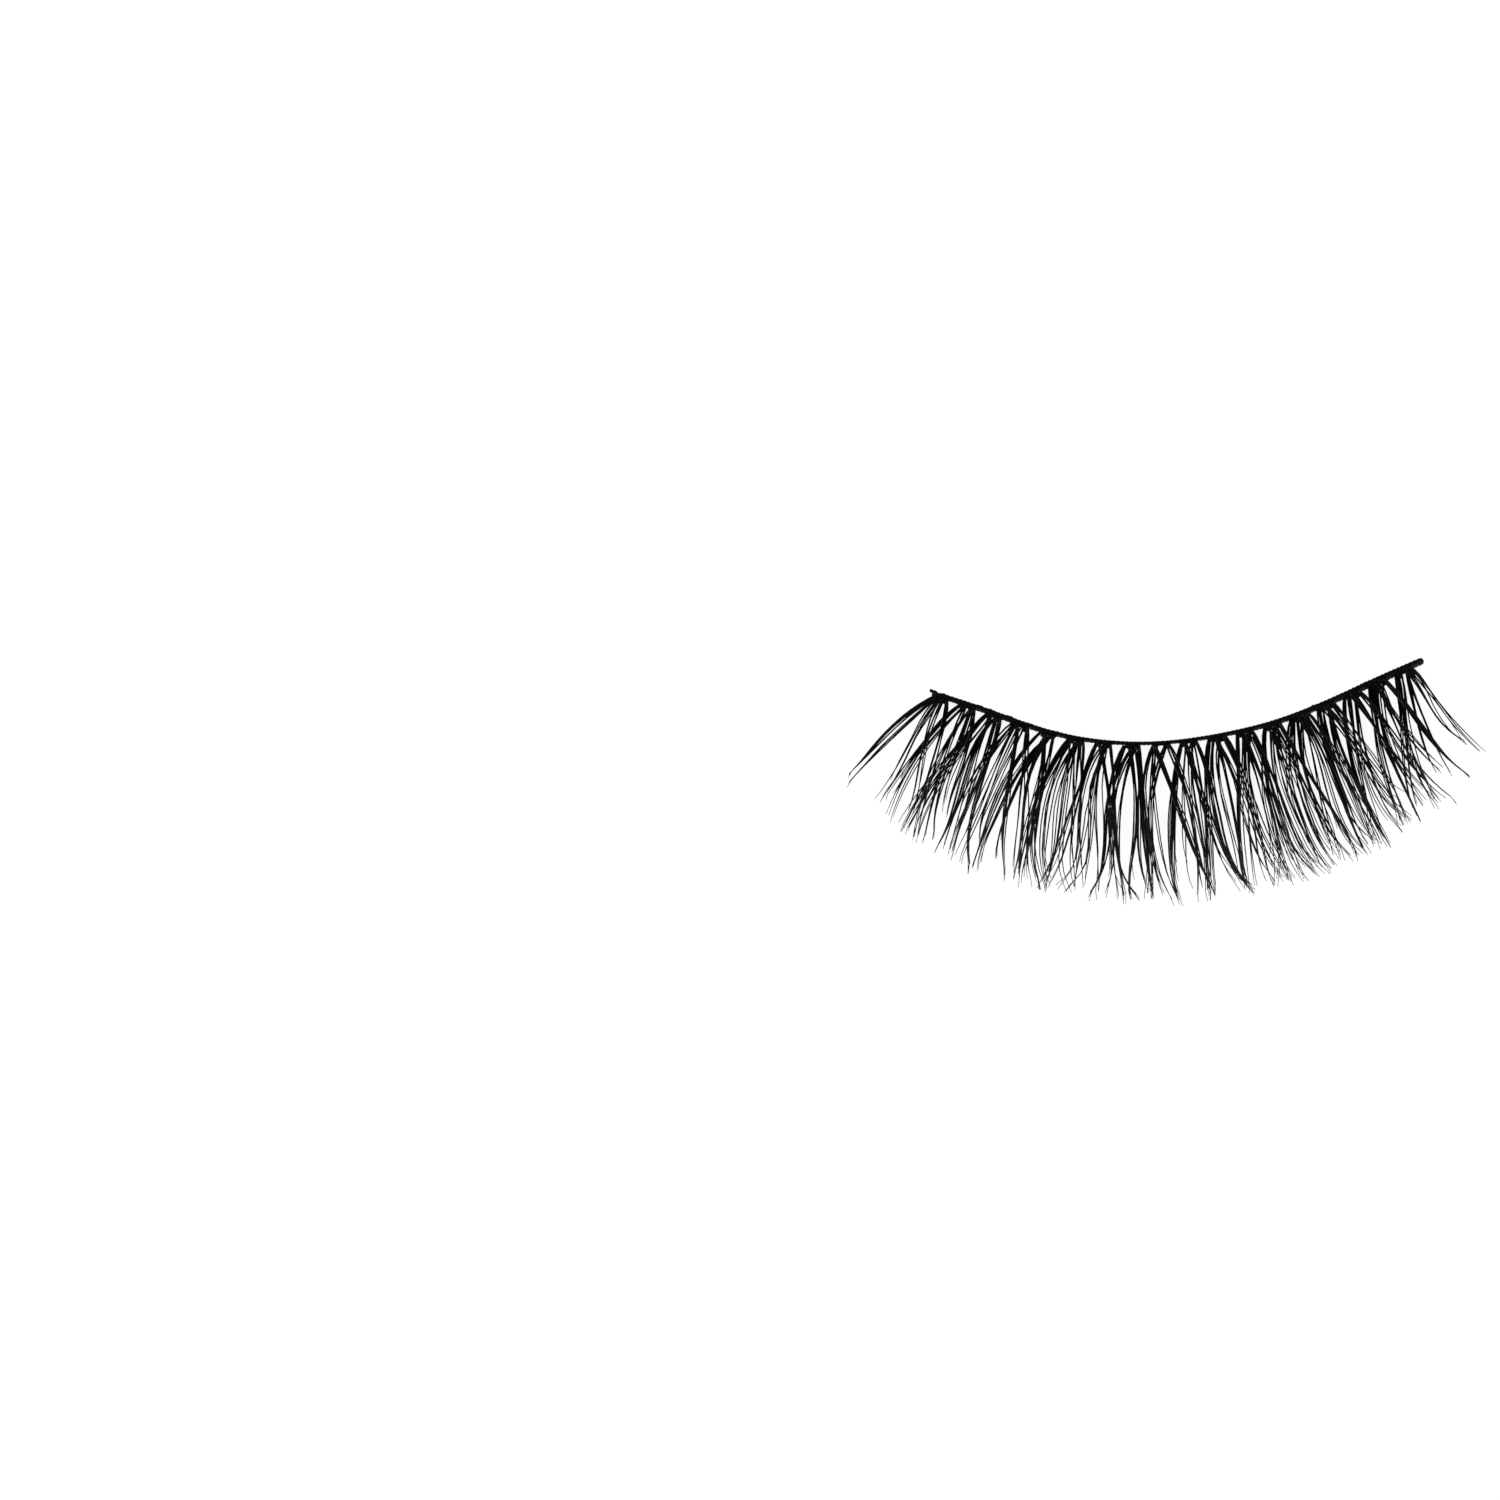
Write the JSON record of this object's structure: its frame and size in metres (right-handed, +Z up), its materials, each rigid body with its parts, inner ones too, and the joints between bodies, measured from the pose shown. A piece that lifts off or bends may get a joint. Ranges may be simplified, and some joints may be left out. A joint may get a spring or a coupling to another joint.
{
  "type": "false eyelash strip",
  "caption": "Curved black band with hand-tied tufts of long lashes that cross each other, fan out and curl upwards.",
  "frame": {"origin": "on the table, under the point of the band's middle line where the band runs parallel to X", "axes": "+Z up, the way the lashes curl; +X along the band from the eye's inner corner to its outer corner; the lashes point to -Y and the eyelid is on the +Y side"},
  "size_m": [0.0396, 0.0153, 0.006],
  "materials": {
    "thread": "black cotton thread, stiffened with glue",
    "fibre": "glossy black synthetic lash fibre"
  },
  "bodies": {
    "root": {"band": "thread", "tuft_01": "fibre", "tuft_02": "fibre", "tuft_03": "fibre", "tuft_04": "fibre", "tuft_05": "fibre", "tuft_06": "fibre", "tuft_07": "fibre", "tuft_08": "fibre", "tuft_09": "fibre", "tuft_10": "fibre", "tuft_11": "fibre", "tuft_12": "fibre", "tuft_13": "fibre", "tuft_14": "fibre", "tuft_15": "fibre", "tuft_16": "fibre", "tuft_17": "fibre", "tuft_18": "fibre"}
  },
  "joints": []
}
